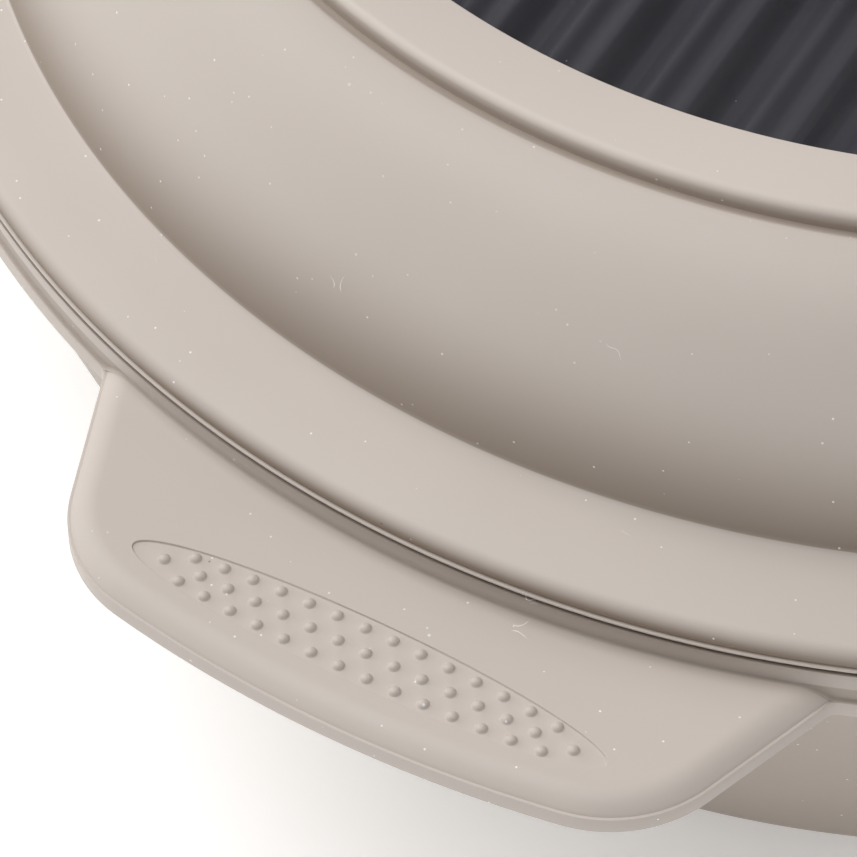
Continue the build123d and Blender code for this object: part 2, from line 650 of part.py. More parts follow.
def clip_pin():
    end = CLIP_HALF_W + LUG_GAP + CLIP_EAR_T
    return tube_y(CLIP_AXIS_R, (-end, end), CLIP_AXIS_Z, CLIP_PIN_R)


def hinge_pin(side):
    reach = DOME_LUG_T / 2 + LUG_GAP + COLLAR_LUG_T
    x = side * HINGE_PIN_X
    return tube_x((x - reach, x + reach), HINGE_Y, HINGE_Z, HINGE_PIN_R)


# --- Filter --------------------------------------------------------------------------------

def crown_ball(inset):
    return Pos(0, 0, CROWN_Z) * Sphere(DOME_CROWN_R - inset)


def cap_outline(edge_r, ball_r, low):
    """Outline of a cap with an upright rim under a piece of the crown's sphere."""
    def on_ball(r):
        return (r, CROWN_Z + sqrt(ball_r ** 2 - r ** 2))

    return (
        Line((0, low), (edge_r, low)),
        Line((edge_r, low), on_ball(edge_r)),
        ThreePointArc(on_ball(edge_r), on_ball(edge_r / 2), on_ball(0)),
        Line(on_ball(0), (0, low)),
    )


def filter_basket():
    """An open-bottomed cup under the crown, with cross bars that carry the filter."""
    low = BASKET_TOP_Z - BASKET_DEPTH
    cup = washer_z(BASKET_R - BASKET_T, BASKET_R, (low, BASKET_TOP_Z))
    cup += washer_z(BASKET_R - BASKET_T, VENT_R - BASKET_FIT, (BASKET_TOP_Z - BASKET_T, BASKET_TOP_Z))
    inside = tube_z(BASKET_R - BASKET_T / 2, (0, 2 * FAR))
    for i in range(-3, 4):
        x = i * BASKET_BAR_PITCH
        span = (x - BASKET_BAR_W / 2, x + BASKET_BAR_W / 2)
        cup += box(span, (-BASKET_R, BASKET_R), (low, low + BASKET_T)) & inside
    return cup


def carbon_filter():
    low = BASKET_TOP_Z - BASKET_DEPTH + BASKET_T
    return tube_z(FILTER_R, (low, low + FILTER_T))


def basket_lugs():
    """Two lugs on the dome behind the vent that hold the cover's pin."""
    lugs = Part()
    for side in (-1, 1):
        span = sorted((side * COVER_LUG_X[0], side * COVER_LUG_X[1]))
        leg_y = (COVER_AXIS_Y - COVER_EYE_R, COVER_AXIS_Y + COVER_EYE_R)
        lugs += tube_x(span, COVER_AXIS_Y, COVER_AXIS_Z, COVER_EYE_R)
        lugs += box(span, leg_y, (VENT_Z - 2 * COVER_EYE_R, COVER_AXIS_Z))
    return lugs - crown_ball(DOME_T / 2)


def filter_cover():
    """The domed slotted cover with its hinge arm and, at the front, a finger tab."""
    rim_r = VENT_R - COVER_FIT
    low = VENT_Z - COVER_RIM_H
    cap = turned(*cap_outline(rim_r, DOME_CROWN_R, low))
    cap -= turned(*cap_outline(rim_r - COVER_RIM_T, DOME_CROWN_R - COVER_T, low - 1))
    for i in range(-3, 4):
        y = i * COVER_SLOT_PITCH
        half = sqrt(COVER_SLOT_REACH ** 2 - y ** 2)
        for side in (-1, 1):
            x = sorted((side * COVER_SPINE_W / 2, side * half))
            cap -= box(x, (y - COVER_SLOT_W / 2, y + COVER_SLOT_W / 2), (low - 1, 2 * FAR))
    arm_x = (-COVER_ARM_X, COVER_ARM_X)
    knuckle = tube_x(arm_x, COVER_AXIS_Y, COVER_AXIS_Z, COVER_EYE_R)
    arm_z = (COVER_AXIS_Z - COVER_ARM_T, COVER_AXIS_Z + COVER_EYE_R)
    arm = box(arm_x, (VENT_R - 7, COVER_AXIS_Y), arm_z) - crown_ball(COVER_T / 2)
    round_vent = washer_z(rim_r, COVER_AXIS_Y + 8, (CROWN_Z, 2 * FAR))
    arm -= crown_ball(-COVER_ARM_CLEARANCE) & round_vent
    cap += knuckle + arm
    cap += box((-COVER_TAB_X, COVER_TAB_X), COVER_TAB_Y, COVER_TAB_Z)
    return cap - tube_x((-FAR, FAR), COVER_AXIS_Y, COVER_AXIS_Z, COVER_PIN_R + ROD_CLEARANCE)


def cover_pin():
    return tube_x((-COVER_LUG_X[1], COVER_LUG_X[1]), COVER_AXIS_Y, COVER_AXIS_Z, COVER_PIN_R)


def dome_with_lugs():
    shell = dome_shell() + LEAN * basket_lugs()
    return shell - LEAN * tube_x((-BASKET_R, BASKET_R), COVER_AXIS_Y, COVER_AXIS_Z, COVER_PIN_R)


pieces = {
    "tray": tray(),
    "hood_collar": hood_collar(),
    "hood_ring": hood_ring(),
    "entry_mat": entry_mat(),
    "dome_shell": dome_with_lugs(),
    "door_panel": door_panel(),
    "door_trim": door_trim(),
    "door_screws": door_screws(),
    "sill_magnet": sill_magnet(),
    "flap_panel": flap_panel(),
    "flap_top_bar": flap_top_bar(),
    "flap_rod": flap_rod(),
    "flap_magnet": flap_magnet(),
    "flap_lock": flap_lock(),
    "clip_right": side_clip(),
    "clip_left": mirrored_x(side_clip()),
    "clip_pin_right": clip_pin(),
    "clip_pin_left": mirrored_x(clip_pin()),
    "hinge_pin_right": hinge_pin(1),
    "hinge_pin_left": hinge_pin(-1),
    "filter_basket": LEAN * filter_basket(),
    "carbon_filter": LEAN * carbon_filter(),
    "filter_cover": LEAN * filter_cover(),
    "filter_cover_pin": LEAN * cover_pin(),
}
for number, angle in enumerate((45, 135, 225, 315), start=1):
    pieces[f"tray_foot_{number}"] = tray_foot(angle)

os.makedirs("parts", exist_ok=True)
for name, piece in pieces.items():
    export_step(one(piece), f"parts/{name}.step")
    print(name, len(piece.solids()), "solid(s)", round(piece.volume / 1000, 1), "cm3")
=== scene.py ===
from math import acos, asin, atan2, cos, degrees, hypot, pi, radians, sin, sqrt, tan

import bmesh
import bpy
from mathutils import Matrix, Vector
from mathutils.geometry import delaunay_2d_cdt

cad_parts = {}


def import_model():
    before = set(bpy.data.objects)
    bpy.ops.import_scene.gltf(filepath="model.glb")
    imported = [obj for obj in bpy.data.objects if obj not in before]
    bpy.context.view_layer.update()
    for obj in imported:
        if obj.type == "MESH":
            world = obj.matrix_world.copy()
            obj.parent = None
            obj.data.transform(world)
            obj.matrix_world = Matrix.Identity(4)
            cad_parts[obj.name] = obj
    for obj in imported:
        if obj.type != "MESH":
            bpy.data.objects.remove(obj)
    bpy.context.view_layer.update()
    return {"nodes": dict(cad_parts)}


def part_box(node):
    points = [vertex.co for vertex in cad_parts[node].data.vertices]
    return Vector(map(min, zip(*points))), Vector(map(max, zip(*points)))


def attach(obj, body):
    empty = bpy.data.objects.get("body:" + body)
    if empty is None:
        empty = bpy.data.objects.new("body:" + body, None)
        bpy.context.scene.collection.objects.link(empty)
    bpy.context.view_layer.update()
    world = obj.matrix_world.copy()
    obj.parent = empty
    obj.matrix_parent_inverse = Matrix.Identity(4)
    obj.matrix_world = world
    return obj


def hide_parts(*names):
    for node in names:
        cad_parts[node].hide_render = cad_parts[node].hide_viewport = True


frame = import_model()
MM = 0.001

# ---------------------------------------------------------------------------------------------
# Sizes, in metres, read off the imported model
# ---------------------------------------------------------------------------------------------
tray_low, tray_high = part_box("tray")
ring_low, ring_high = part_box("hood_ring")
mat_low, mat_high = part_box("entry_mat")

BASE_Z = tray_low.z
RIM_TOP_Z = tray_high.z
RIM_R = tray_high.x
TAB_R = tray_high.y
TAB_TOP_Z = RIM_TOP_Z - 5.7 * MM
LEDGE_Z = TAB_TOP_Z - 3.0 * MM
SKIRT_Z = TAB_TOP_Z - 7.0 * MM
RIM_WALL_R = RIM_R - 0.9 * MM
RING_R = ring_high.x
RING_TOP_Z = ring_high.z
COLLAR_TOP_Z = ring_low.z
HOOD_EDGE_Z = TAB_TOP_Z + 6.7 * MM


# ---------------------------------------------------------------------------------------------
# Mesh helpers
# ---------------------------------------------------------------------------------------------
class Shell:
    """Vertices and faces gathered for one piece."""

    def __init__(self):
        self.points = []
        self.faces = []

    def add(self, points, faces):
        start = len(self.points)
        self.points += [tuple(p) for p in points]
        self.faces += [tuple(start + i for i in face) for face in faces]

    def grid(self, rows, close_u=False, close_v=False):
        """Faces between rows of points of equal length."""
        count = len(rows[0])
        faces = []
        last_row = len(rows) if close_u else len(rows) - 1
        last_col = count if close_v else count - 1
        for i in range(last_row):
            a = i * count
            b = (i + 1) % len(rows) * count
            for j in range(last_col):
                k = (j + 1) % count
                faces.append((a + j, a + k, b + k, b + j))
        self.add([p for row in rows for p in row], faces)

    def turn(self, outline, steps=360, start=0.0, end=2 * pi):
        """An outline of (radius, height) turned about the Z axis."""
        full = abs(end - start - 2 * pi) < 1e-9
        count = steps if full else steps + 1
        rows = []
        for i in range(count):
            angle = start + (end - start) * i / steps
            rows.append([(r * cos(angle), r * sin(angle), z) for r, z in outline])
        self.grid(rows, close_u=full)

    def slab(self, outline, low, high, place, soft=0.4 * MM):
        """A closed outline pushed from low to high, its rim edges rounded, set by place(u, v, w)."""
        area = sum(a[0] * b[1] - b[0] * a[1] for a, b in zip(outline, outline[1:] + outline[:1]))
        ring = outline if area > 0 else outline[::-1]
        count = len(ring)
        inward = []
        for i in range(count):
            ax, ay = ring[i - 1]
            bx, by = ring[(i + 1) % count]
            length = hypot(bx - ax, by - ay)
            inward.append(((ay - by) / length, (bx - ax) / length))
        rows = []
        for shrink, w in ((1.0, low), (0.3, low + 0.3 * soft), (0.0, low + soft),
                          (0.0, high - soft), (0.3, high - 0.3 * soft), (1.0, high)):
            rows.append([
                place(u + nu * soft * shrink, v + nv * soft * shrink, w)
                for (u, v), (nu, nv) in zip(ring, inward)
            ])
        self.grid(rows, close_v=True)
        self.add(rows[0], [tuple(range(count))])
        self.add(rows[-1], [tuple(range(count))])

    def object(self, name, sharp=32.0):
        mesh = bpy.data.meshes.new(name)
        mesh.from_pydata(self.points, [], self.faces)
        mesh.validate()
        return finish_mesh(name, mesh, sharp)


def finish_mesh(name, mesh, sharp):
    """Merges doubles, points the faces outward, and shades the mesh smooth between its sharp edges."""
    work = bmesh.new()
    work.from_mesh(mesh)
    bmesh.ops.remove_doubles(work, verts=work.verts, dist=2e-6)
    bmesh.ops.dissolve_degenerate(work, edges=work.edges, dist=1e-6)
    bmesh.ops.recalc_face_normals(work, faces=work.faces)
    work.to_mesh(mesh)
    work.free()
    mesh.shade_smooth()
    mesh.set_sharp_from_angle(angle=radians(sharp))
    piece = bpy.data.objects.new(name, mesh)
    bpy.context.scene.collection.objects.link(piece)
    return piece


def arc(centre, radius, start, end, steps):
    """Points of an arc in a plane, angles in degrees."""
    points = []
    for i in range(steps + 1):
        angle = radians(start + (end - start) * i / steps)
        points.append((centre[0] + radius * cos(angle), centre[1] + radius * sin(angle)))
    return points


# ---------------------------------------------------------------------------------------------
# Tray
# ---------------------------------------------------------------------------------------------
TAB_ROOT = (79.3 * MM, -213.4 * MM)
TAB_LEAN = radians(20.0)
TAB_CORNER_R = 28.0 * MM
TAB_FLARE_R = 3.5 * MM
TAB_EDGE_R = 6.5 * MM
TAB_LEDGE = 0.6 * MM
TAB_T = 2.6 * MM
RIM_LEDGE_EXTRA = 0.34 * MM     # the rim's ledge is this much wider than the tab's
CREASE_R = 0.55 * MM
TAB_ROOT_R = RIM_R - 3.0 * MM   # the tab's skins end inside the rim's wall
LEDGE_LIP = 0.22 * MM           # rounding of the ledge's corners
LEDGE_BREAK = 0.06 * MM
TRAY_BASE_R = 196.0 * MM
TRAY_TOP_R = RIM_R - 1.8 * MM   # outside of the wall, under the skirt
TRAY_CORNER_R = 14.0 * MM
TRAY_FLAT_STEP = 20.0 * MM      # width of the first flat strip inside the corner
TRAY_T = 3.0 * MM
RIM_ROUND_R = 0.8 * MM
PAD_R = TAB_R - 16.2 * MM
PAD_HALF = (51.0 * MM, 7.4 * MM)
PAD_DEPTH = 0.45 * MM
DOT_R = 1.22 * MM
DOT_H = 0.9 * MM
DOT_PITCH = 6.0 * MM


def on_circle_along(root, direction, side, radius):
    """How far along a line, moved sideways, a point has the given distance from the origin."""
    px, py = root[0] + side[0], root[1] + side[1]
    b = px * direction[0] + py * direction[1]
    return -b + sqrt(b * b - (px * px + py * py - radius * radius))


def tab_half():
    """Right half of the tab's plan outline, from its middle to the rim, with inward normals."""
    out = (-sin(TAB_LEAN), -cos(TAB_LEAN))
    side = (cos(TAB_LEAN), -sin(TAB_LEAN))
    r = TAB_CORNER_R
    t = on_circle_along(TAB_ROOT, out, (-r * side[0], -r * side[1]), TAB_R - r)
    corner = (TAB_ROOT[0] + t * out[0] - r * side[0], TAB_ROOT[1] + t * out[1] - r * side[1])
    f = TAB_FLARE_R
    s = on_circle_along(TAB_ROOT, out, (f * side[0], f * side[1]), RIM_R + f)
    flare = (TAB_ROOT[0] + s * out[0] + f * side[0], TAB_ROOT[1] + s * out[1] + f * side[1])
    points = []
    angle = atan2(corner[1], corner[0])
    for i in range(44):
        a = -pi / 2 + (angle + pi / 2) * i / 44
        points.append((TAB_R * cos(a), TAB_R * sin(a), -cos(a), -sin(a)))
    end = atan2(side[1], side[0])
    for i in range(28):
        a = angle + (end - angle) * i / 28
        points.append((corner[0] + r * cos(a), corner[1] + r * sin(a), -cos(a), -sin(a)))
    first = (corner[0] + r * side[0], corner[1] + r * side[1])
    last = (flare[0] - f * side[0], flare[1] - f * side[1])
    for i in range(20):
        u = i / 20
        x = first[0] + (last[0] - first[0]) * u
        y = first[1] + (last[1] - first[1]) * u
        points.append((x, y, -side[0], -side[1]))
    begin = atan2(-side[1], -side[0])
    stop = atan2(-flare[1], -flare[0])
    for i in range(13):
        a = begin + (stop - begin) * i / 12
        points.append((flare[0] + f * cos(a), flare[1] + f * sin(a), cos(a), sin(a)))
    return points


def tab_curve():
    """The whole outline from the left rim to the right rim."""
    half = tab_half()
    return [(-x, y, -nx, ny) for x, y, nx, ny in reversed(half[1:])] + half


def inset(curve, distance, flare_extra=0.0):
    """The outline moved inward, a little further along the flares, and kept inside the rim's wall."""
    count = len(curve)
    points = []
    for i, (x, y, nx, ny) in enumerate(curve):
        along = max(0, 13 - min(i, count - 1 - i)) / 13
        d = distance + flare_extra * along
        px, py = x + nx * d, y + ny * d
        reach = hypot(px, py)
        if reach < TAB_ROOT_R:
            px, py = px * TAB_ROOT_R / reach, py * TAB_ROOT_R / reach
        points.append((px, py))
    return points


def tab_height(inset_by):
    """Height of the tab's upper surface at a distance inside its outline."""
    rim = TAB_LEDGE + sqrt(TAB_EDGE_R ** 2 - (TAB_EDGE_R - (TAB_TOP_Z - LEDGE_Z)) ** 2)
    if inset_by >= rim:
        return TAB_TOP_Z
    if inset_by <= TAB_LEDGE:
        return LEDGE_Z
    return TAB_TOP_Z - TAB_EDGE_R + sqrt(TAB_EDGE_R ** 2 - (rim - inset_by) ** 2)


def edge_profile():
    """The tab's edge from under the skirt to the flat top, as (inset, height)."""
    drop = TAB_TOP_Z - LEDGE_Z
    run = sqrt(TAB_EDGE_R ** 2 - (TAB_EDGE_R - drop) ** 2)
    start = degrees(asin((TAB_EDGE_R - drop) / TAB_EDGE_R))
    round_over = arc((-(TAB_LEDGE + run), TAB_TOP_Z - TAB_EDGE_R), TAB_EDGE_R, start, 90, 12)
    lip = LEDGE_LIP
    profile = [(TAB_T, SKIRT_Z), (lip, SKIRT_Z), (0, SKIRT_Z + lip), (0, LEDGE_Z - lip)]
    profile += [(LEDGE_BREAK, LEDGE_Z - LEDGE_BREAK), (lip, LEDGE_Z)]
    profile += [(-x, z) for x, z in round_over]
    return profile, TAB_LEDGE + run


def planar(shell, outer, holes, z, up=True):
    """A flat face with holes, split into triangles."""
    points = [Vector(p) for p in outer]
    edges = [(i, (i + 1) % len(outer)) for i in range(len(outer))]
    for hole in holes:
        start = len(points)
        points += [Vector(p) for p in hole]
        edges += [(start + i, start + (i + 1) % len(hole)) for i in range(len(hole))]
    verts, _, faces, _, _, _ = delaunay_2d_cdt(points, edges, [], 1, 1e-7)
    kept = []
    for face in faces:
        cx = sum(verts[i][0] for i in face) / len(face)
        cy = sum(verts[i][1] for i in face) / len(face)
        if inside(outer, cx, cy) and not any(inside(hole, cx, cy) for hole in holes):
            kept.append(tuple(face) if up else tuple(reversed(face)))
    shell.add([(v[0], v[1], z) for v in verts], kept)


def inside(ring, x, y):
    """Whether a point lies in a closed ring of points."""
    hit = False
    j = len(ring) - 1
    for i in range(len(ring)):
        xi, yi = ring[i][0], ring[i][1]
        xj, yj = ring[j][0], ring[j][1]
        if (yi > y) != (yj > y) and x < (xj - xi) * (y - yi) / (yj - yi) + xi:
            hit = not hit
        j = i
    return hit


def oval(half, count, y=0.0):
    return [(half[0] * cos(2 * pi * i / count), y + half[1] * sin(2 * pi * i / count)) for i in range(count)]


def dot_centres():
    centres = [(-44 * MM, 0.0), (44 * MM, 0.0)]
    centres += [(i * DOT_PITCH, 0.0) for i in range(-6, 7)]
    for i in range(-7, 7):
        x = (i + 0.5) * DOT_PITCH
        y = 4.95 * MM * sqrt(1 - (x / (50 * MM)) ** 2)
        centres += [(x, y), (x, -y)]
    return centres


def grip_pad(shell):
    """The sunk oval with its raised dots."""
    lip = 0.07 * MM
    rim = oval(PAD_HALF, 192, -PAD_R)
    wall = []
    floor_z = TAB_TOP_Z - PAD_DEPTH
    for shrink, z in ((0, TAB_TOP_Z), (lip, TAB_TOP_Z - lip), (2 * lip, floor_z + lip), (3 * lip, floor_z)):
        ring = oval((PAD_HALF[0] - shrink, PAD_HALF[1] - shrink), 192, -PAD_R)
        wall.append([(x, y, z) for x, y in ring])
    shell.grid(wall, close_v=True)
    ball = (DOT_R ** 2 + DOT_H ** 2) / (2 * DOT_H)
    top = asin((DOT_R - 0.08 * MM) / ball)
    profile = [(DOT_R + 0.22 * MM, 0.0), (DOT_R + 0.08 * MM, 0.03 * MM), (DOT_R, 0.12 * MM)]
    for i in range(6):
        a = top * (1 - i / 6)
        profile.append((ball * sin(a), DOT_H - ball + ball * cos(a)))
    count = 28
    holes = []
    for x, y in dot_centres():
        rows = [
            [(x + r * cos(2 * pi * j / count), y - PAD_R + r * sin(2 * pi * j / count), floor_z + h)
             for j in range(count)]
            for r, h in profile
        ]
        shell.grid(rows, close_v=True)
        shell.add(rows[-1] + [(x, y - PAD_R, floor_z + DOT_H)],
                  [(j, (j + 1) % count, count) for j in range(count)])
        holes.append([(p[0], p[1]) for p in rows[0]])
    planar(shell, [(p[0], p[1]) for p in wall[-1]], holes, floor_z)
    return rim


def root_arc(curve, count=60):
    """Points along the rim from a curve's last point back to its first."""
    start = atan2(curve[-1][1], curve[-1][0])
    end = atan2(curve[0][1], curve[0][0])
    angles = [start + (end - start) * i / count for i in range(1, count)]
    return [(TAB_ROOT_R * cos(a), TAB_ROOT_R * sin(a)) for a in angles]


def front_tab():
    shell = Shell()
    curve = tab_curve()
    profile, run = edge_profile()
    rows = []
    for d, z in profile:
        on_top = d > TAB_LEDGE / 3 and z >= LEDGE_Z
        rows.append([(x, y, z) for x, y in inset(curve, d, RIM_LEDGE_EXTRA if on_top else 0.0)])
    shell.grid(rows)
    inner = inset(curve, run, RIM_LEDGE_EXTRA)
    rim = grip_pad(shell)
    planar(shell, inner + root_arc(inner), [rim], TAB_TOP_Z)
    crease(shell, curve)
    hollow = inset(curve, TAB_T)
    under = TAB_TOP_Z - TAB_T
    shell.grid([[(x, y, SKIRT_Z) for x, y in hollow], [(x, y, under) for x, y in hollow]])
    planar(shell, hollow + root_arc(hollow), [], under, up=False)
    return shell


def crease(shell, curve):
    """The small fillet where the tab's upper surface runs into the rim's wall."""
    foot = RIM_WALL_R + CREASE_R
    end = atan2(curve[-1][1], curve[-1][0])
    count = 220
    rows = []
    for i in range(count + 1):
        angle = end + (-pi - 2 * end) * i / count
        x, y = foot * cos(angle), foot * sin(angle)
        gap = min(hypot(x - px, y - py) for px, py, _, _ in curve)
        z = tab_height(gap)
        ux, uy = cos(angle), sin(angle)
        row = [(ux * (foot + 0.3 * MM), uy * (foot + 0.3 * MM), z - 0.02 * MM)]
        for k in range(7):
            a = pi / 2 * k / 6
            r = foot - CREASE_R * sin(a)
            row.append((ux * r, uy * r, z + CREASE_R * (1 - cos(a))))
        row.append((ux * TAB_ROOT_R, uy * TAB_ROOT_R, z + CREASE_R))
        rows.append(row)
    shell.grid(rows)


def tray_outline():
    """Half section of the tray from the middle of its underside, round the rim, to its floor."""
    rise = SKIRT_Z - BASE_Z
    taper = atan2(TRAY_TOP_R - TRAY_BASE_R, rise)
    run = (1 - sin(taper)) / cos(taper)
    centre_r = TRAY_BASE_R - TRAY_CORNER_R * run
    outline = [(0, BASE_Z), (centre_r - TRAY_FLAT_STEP, BASE_Z)]
    outline += arc((centre_r, BASE_Z + TRAY_CORNER_R), TRAY_CORNER_R, -90, -degrees(taper), 16)
    outline += [(TRAY_TOP_R - 0.2 * MM, SKIRT_Z - 0.5 * MM), (TRAY_TOP_R, SKIRT_Z)]
    lip = LEDGE_LIP
    outline += [(RIM_R - lip, SKIRT_Z), (RIM_R, SKIRT_Z + lip), (RIM_R, LEDGE_Z - lip)]
    outline += [(RIM_R - LEDGE_BREAK, LEDGE_Z - LEDGE_BREAK), (RIM_R - lip, LEDGE_Z)]
    outline += [(RIM_WALL_R + 0.25 * MM, LEDGE_Z), (RIM_WALL_R, LEDGE_Z + 0.3 * MM)]
    outline += arc((RIM_WALL_R - RIM_ROUND_R, RIM_TOP_Z - RIM_ROUND_R), RIM_ROUND_R, 0, 90, 5)
    slope = (TRAY_TOP_R - TRAY_BASE_R) / rise
    foot_r = TRAY_BASE_R - TRAY_T / cos(taper)
    inner_top = foot_r + (RIM_TOP_Z - BASE_Z) * slope
    outline += [(inner_top + RIM_ROUND_R, RIM_TOP_Z), (inner_top, RIM_TOP_Z - RIM_ROUND_R)]
    floor_z = BASE_Z + TRAY_T
    corner = TRAY_CORNER_R - TRAY_T
    centre_r = foot_r + TRAY_T * slope - corner * run
    inside_corner = arc((centre_r, floor_z + corner), corner, -90, -degrees(taper), 12)
    outline += inside_corner[::-1]
    outline += [(centre_r - TRAY_FLAT_STEP, floor_z), (0, floor_z)]
    return outline


def make_tray():
    shell = Shell()
    shell.turn(tray_outline(), steps=720)
    tab = front_tab()
    shell.add(tab.points, tab.faces)
    shell.add([(-x, -y, z) for x, y, z in tab.points], tab.faces)
    return shell.object("tray_moulding")


# ---------------------------------------------------------------------------------------------
# Hood: collar and ring
# ---------------------------------------------------------------------------------------------
BAND_R = 206.5 * MM
BAND_Z = TAB_TOP_Z + 16.0 * MM
BAND_MIDDLE = (216.0 * MM, BAND_Z - 2.1 * MM)
BAND_FOOT_R = 1.5 * MM
KNEE_R = 3.4 * MM
LIP_W = 0.75 * MM
LIP_H = 0.55 * MM
COLLAR_T = 3.0 * MM
RING_IN_R = 158.1 * MM
GROOVE_W = 2.6 * MM
GROOVE_DEPTH = 1.1 * MM
DECK_Z = 149.0 * MM
DECK_T = 3.0 * MM
DECK_R = 160.0 * MM            # the deck and the sill end inside the collar's inner wall
SILL_Y = (-60.5 * MM, -38.0 * MM)
SILL_LOW = (160.1 * MM, DECK_Z + 0.1 * MM, 165.2 * MM)     # radius, foot and top of the sill's steps
SILL_HIGH = (157.9 * MM, 164.0 * MM, 168.6 * MM)
SILL_SET_BACK = 0.05 * MM
LUG_X = (-71.4 * MM, -48.6 * MM, 48.6 * MM, 71.4 * MM)
LUG_T = 8.0 * MM
LUG_EYE = (184.0 * MM, 176.0 * MM)
LUG_EYE_R = 7.0 * MM
EAR_X = (216.0 * MM, 232.0 * MM)
EAR_Y = (23.0 * MM, 28.0 * MM)
EAR_Z = 110.5 * MM
EAR_EYE_R = 4.5 * MM
SKIRT_R = (216.0 * MM, 219.0 * MM)
SKIRT_H = 10.5 * MM
SKIRT_BREAK = 0.5 * MM
EDGE_BREAK = 0.1 * MM
KNEE_SET_BACK = 0.5 * MM        # the round edge stands this far inside the lip
KNEE_RISE = 1.8 * MM
BAND_CROWN = 0.12 * MM


def collar_outline():
    """Section of the collar's outer skin: lip, undercut edge, sloping band, wall, and the ring's groove."""
    soft = EDGE_BREAK
    lip_top = HOOD_EDGE_Z + LIP_H
    outline = [(RIM_R - soft, HOOD_EDGE_Z), (RIM_R, HOOD_EDGE_Z + soft), (RIM_R, lip_top - soft)]
    outline += [(RIM_R - 0.3 * soft, lip_top - 0.3 * soft), (RIM_R - soft, lip_top)]
    outline.append((RIM_R - LIP_W, lip_top + soft))
    centre = (RIM_R - KNEE_SET_BACK - KNEE_R, HOOD_EDGE_Z + KNEE_RISE)
    outline += arc(centre, KNEE_R, -20, 75, 18)
    knee_r, knee_z = outline[-1]
    middle_r, middle_z = BAND_MIDDLE
    steps = 6
    for i in range(1, steps + 1):
        u = i / steps
        crown = BAND_CROWN * sin(pi * u)
        outline.append((knee_r + (middle_r - knee_r) * u, knee_z + (middle_z - knee_z) * u + crown))
    slope = atan2(BAND_Z - middle_z, middle_r - BAND_R)
    f = BAND_FOOT_R
    centre = (BAND_R + f, BAND_Z - f * tan(slope) + f / cos(slope))
    outline += list(reversed(arc(centre, f, 180, 270 - degrees(slope), 10)))
    wide = BAND_R - RING_R
    high = COLLAR_TOP_Z - BAND_Z
    start = asin((centre[1] - BAND_Z) / high)
    stop = acos(GROOVE_W / wide)
    for i in range(1, 49):
        a = start + (stop - start) * i / 48
        outline.append((RING_R + wide * cos(a), BAND_Z + high * sin(a)))
    top = outline[-1][1]
    outline += [
        (RING_R + GROOVE_W * 0.86, top - GROOVE_DEPTH * 0.10),
        (RING_R + GROOVE_W * 0.66, top - GROOVE_DEPTH * 0.45),
        (RING_R + GROOVE_W * 0.44, top - GROOVE_DEPTH * 0.85),
        (RING_R + GROOVE_W * 0.22, top - GROOVE_DEPTH),
        (RING_R - soft, top - GROOVE_DEPTH),
        (RING_R - soft, COLLAR_TOP_Z),
    ]
    return outline


def make_collar():
    """The lower hood: its turned skin, closed by a plain inner skin, and all that is moulded to it."""
    shell = Shell()
    outer = collar_outline()
    inner = [(RIM_R - LIP_W - 0.3 * MM, HOOD_EDGE_Z), (RIM_R - 2.2 * MM, HOOD_EDGE_Z + 0.8 * MM)]
    inner += [(RIM_R - 3.6 * MM, HOOD_EDGE_Z + 3.0 * MM), (BAND_MIDDLE[0], BAND_MIDDLE[1] - COLLAR_T)]
    inner.append((BAND_R - COLLAR_T, BAND_Z - COLLAR_T))
    wide = BAND_R - COLLAR_T - RING_R
    high = COLLAR_TOP_Z - BAND_Z
    for i in range(1, 21):
        a = pi / 2 * i / 20
        inner.append((RING_R + wide * cos(a), BAND_Z - COLLAR_T + high * sin(a)))
    outline = outer + [(RING_IN_R + 0.3 * MM, COLLAR_TOP_Z)]
    outline += [(RING_IN_R + 0.3 * MM, DECK_Z), (RING_IN_R + COLLAR_T, DECK_Z)]
    outline += [(RING_IN_R + COLLAR_T, COLLAR_TOP_Z - COLLAR_T)]
    outline += list(reversed(inner))
    outline.append(outline[0])
    shell.turn(outline, steps=720)
    collar_inside(shell)
    collar_fittings(shell)
    return shell.object("collar_moulding")


def disc_part(radius, low_y, high_y):
    """Plan outline of the part of a disc that lies between two values of Y."""
    start, end = asin(max(-1.0, low_y / radius)), asin(high_y / radius)
    count = 90
    points = []
    for i in range(count + 1):
        a = start + (end - start) * i / count
        points.append((radius * cos(a), radius * sin(a)))
    mirror = [(-x, y) for x, y in reversed(points)]
    if low_y <= -radius:
        mirror = mirror[:-1]
    return points + mirror


def collar_inside(shell):
    """Porch deck, the cross sill under the door, and the skirt that locates the hood in the tray."""
    def level(x, y, z):
        return x, y, z

    front, back = SILL_Y
    shell.slab(disc_part(DECK_R, -DECK_R, front + DECK_T), DECK_Z, DECK_Z + DECK_T, level)
    radius, foot, top = SILL_LOW
    shell.slab(disc_part(radius, front, back), foot, top, level, soft=0.2 * MM)
    radius, foot, top = SILL_HIGH
    step = disc_part(radius, front + SILL_SET_BACK, back - SILL_SET_BACK)
    shell.slab(step, foot, top, level, soft=0.8 * MM)
    inner, outer = SKIRT_R
    seat = HOOD_EDGE_Z - 1.0 * MM
    under = BAND_MIDDLE[1] - COLLAR_T + 0.5 * MM
    foot = seat - SKIRT_H
    flange = RIM_R - 2.6 * MM
    outline = [(inner, foot + SKIRT_BREAK), (inner + SKIRT_BREAK, foot), (outer - SKIRT_BREAK, foot)]
    outline += [(outer, foot + SKIRT_BREAK), (outer, seat), (flange, seat + EDGE_BREAK)]
    outline += [(flange, seat + 2.6 * MM), (outer, under), (inner, under)]
    shell.turn(outline + outline[:1], steps=360)


